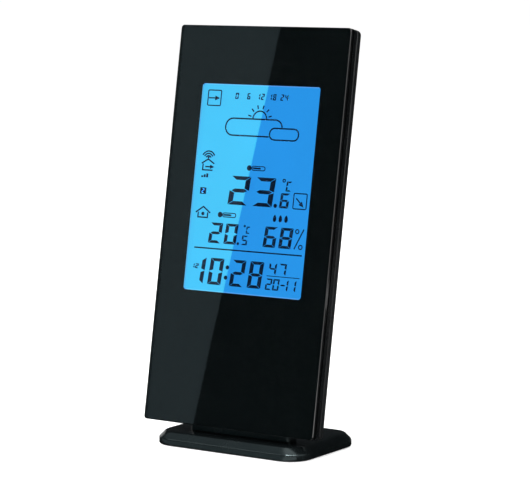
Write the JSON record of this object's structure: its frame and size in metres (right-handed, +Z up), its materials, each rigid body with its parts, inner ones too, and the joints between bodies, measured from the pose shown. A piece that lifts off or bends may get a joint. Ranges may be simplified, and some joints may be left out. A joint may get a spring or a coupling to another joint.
{
  "type": "home weather station",
  "caption": "Slab-shaped home weather station with a backlit blue display behind a glossy black panel, leaning back on a bevelled plug-in stand, with keys and a battery door on its back.",
  "frame": {"origin": "on the ground under the middle of the stand", "axes": "+Z up, the display faces -Y, +X to the right of a person facing the display"},
  "size_m": [0.0808, 0.0462, 0.1672],
  "materials": {
    "foot_black": "satin black moulding",
    "rubber_black": "soft black rubber",
    "panel_clear": "clear polished acrylic",
    "mask_black": "black printed layer",
    "case_black": "satin black moulding",
    "display_blue": "lit blue display face",
    "display_glass": "clear display glass",
    "film_silver": "silvery transflective film",
    "light_guide_clear": "clear acrylic",
    "white_plastic": "white moulding",
    "board_green": "green solder mask",
    "epoxy_black": "black resin",
    "nickel_plate": "nickel plated",
    "aerial_copper": "enamelled copper wire",
    "screw_zinc": "zinc plated",
    "stem_plastic": "grey switch stem",
    "key_black": "matt black key",
    "cell_jacket": "plain jacketed cell",
    "wire_black": "black wire sleeve",
    "wire_red": "red wire sleeve"
  },
  "bodies": {
    "stand": {"stand_base": "foot_black", "stand_pad_1": "rubber_black", "stand_pad_2": "rubber_black", "stand_pad_3": "rubber_black", "stand_pad_4": "rubber_black"},
    "console": {"front_panel": "panel_clear", "panel_mask": "mask_black", "front_case": "case_black", "rear_cover": "case_black", "lcd_polariser": "display_blue", "lcd_glass": "display_glass", "lcd_transflector": "film_silver", "zebra_connector": "rubber_black", "light_guide": "light_guide_clear", "backlight_reflector": "white_plastic", "backlight_strip": "board_green", "backlight_led_left": "white_plastic", "backlight_led_right": "white_plastic", "lcd_holder": "white_plastic", "main_board": "board_green", "controller_chip": "epoxy_black", "capacitor": "nickel_plate", "clock_crystal": "nickel_plate", "piezo_buzzer": "case_black", "humidity_sensor": "white_plastic", "thermistor": "epoxy_black", "radio_module": "board_green", "radio_aerial": "aerial_copper", "mode_switch": "case_black", "up_switch": "case_black", "down_switch": "case_black", "channel_switch": "case_black", "light_switch": "case_black", "reset_switch": "case_black", "case_screw_1": "screw_zinc", "case_screw_2": "screw_zinc", "case_screw_3": "screw_zinc", "case_screw_4": "screw_zinc", "battery_lower": "cell_jacket", "battery_upper": "cell_jacket", "negative_contact": "nickel_plate", "positive_contact": "nickel_plate", "bridge_contact": "nickel_plate", "negative_spring": "nickel_plate", "bridge_spring": "nickel_plate", "negative_lead": "wire_black", "positive_lead": "wire_red"},
    "door": {"battery_door": "case_black"},
    "mode_button": {"mode_key": "key_black", "mode_stem": "stem_plastic"},
    "up_button": {"up_key": "key_black", "up_stem": "stem_plastic"},
    "down_button": {"down_key": "key_black", "down_stem": "stem_plastic"},
    "channel_button": {"channel_key": "key_black", "channel_stem": "stem_plastic"},
    "light_button": {"light_key": "key_black", "light_stem": "stem_plastic"},
    "reset_button": {"reset_stem": "stem_plastic"}
  },
  "joints": [
    {"name": "console_lift", "type": "slide", "parent": "stand", "child": "console", "axis": [0, 0.1719, 0.9851], "range_m": [0, 0.014]},
    {"name": "door_hinge", "type": "hinge", "parent": "console", "child": "door", "pos_m": [0, -0.0012, 0.02247], "axis": [-1, 0, 0], "range_deg": [0, 85]},
    {"name": "mode_press", "type": "slide", "parent": "console", "child": "mode_button", "axis": [0, -0.9851, 0.1719], "range_m": [0, 0.0008], "stiffness_N_per_m": 600, "springref_m": -0.0005},
    {"name": "up_press", "type": "slide", "parent": "console", "child": "up_button", "axis": [0, -0.9851, 0.1719], "range_m": [0, 0.0008], "stiffness_N_per_m": 600, "springref_m": -0.0005},
    {"name": "down_press", "type": "slide", "parent": "console", "child": "down_button", "axis": [0, -0.9851, 0.1719], "range_m": [0, 0.0008], "stiffness_N_per_m": 600, "springref_m": -0.0005},
    {"name": "channel_press", "type": "slide", "parent": "console", "child": "channel_button", "axis": [0, -0.9851, 0.1719], "range_m": [0, 0.0008], "stiffness_N_per_m": 600, "springref_m": -0.0005},
    {"name": "light_press", "type": "slide", "parent": "console", "child": "light_button", "axis": [0, -0.9851, 0.1719], "range_m": [0, 0.0008], "stiffness_N_per_m": 600, "springref_m": -0.0005},
    {"name": "reset_press", "type": "slide", "parent": "console", "child": "reset_button", "axis": [0, -0.9851, 0.1719], "range_m": [0, 0.0008], "stiffness_N_per_m": 600, "springref_m": -0.0005}
  ]
}
